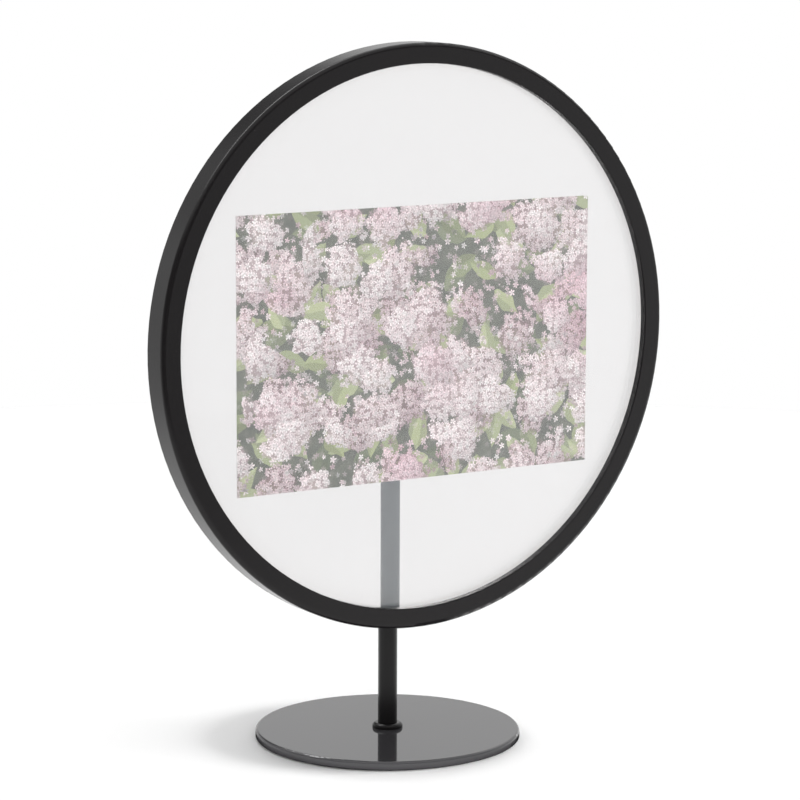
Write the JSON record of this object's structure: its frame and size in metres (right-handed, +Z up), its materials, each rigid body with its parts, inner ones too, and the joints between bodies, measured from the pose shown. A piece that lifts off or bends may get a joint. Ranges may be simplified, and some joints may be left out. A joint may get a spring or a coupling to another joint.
{
  "type": "round photo frame",
  "caption": "Round glass photo frame with a slim black metal hoop that turns on a hub at the top of a stem on a thin round base.",
  "frame": {"origin": "middle of the underside of the base, on the stem's axis", "axes": "+Z up along the stem; the frame faces -Y; +X to the right of someone who looks at the print"},
  "size_m": [0.2168, 0.1004, 0.2642],
  "materials": {
    "hoop_coat": "satin",
    "stem_coat": "satin",
    "base_lacquer": "gloss",
    "clear_glass": "polished",
    "print_paper": "satin",
    "gasket_rubber": "matte",
    "ring_steel": "satin",
    "bond_tape": "matte",
    "hub_coat": "satin",
    "slip_nylon": "satin",
    "spring_steel": "satin",
    "screw_steel": "satin",
    "pad_foam": "matte"
  },
  "bodies": {
    "stand": {"front_slip_washer": "slip_nylon", "rear_slip_washer": "slip_nylon", "stem_head": "stem_coat", "stem_rod": "stem_coat", "stem_collar": "stem_coat", "base_plate": "base_lacquer", "base_screw": "screw_steel", "base_pad": "pad_foam"},
    "frame": {"hoop": "hoop_coat", "lip_gasket": "gasket_rubber", "front_pane": "clear_glass", "photo_print": "print_paper", "rear_pane": "clear_glass", "retaining_ring": "ring_steel", "hub_bond": "bond_tape", "hub": "hub_coat", "disc_spring": "spring_steel", "pivot_screw": "screw_steel"}
  },
  "joints": [
    {"name": "frame_turn", "type": "hinge", "parent": "stand", "child": "frame", "pos_m": [0, 0, 0.1558], "axis": [0, 1, 0], "continuous": true}
  ]
}
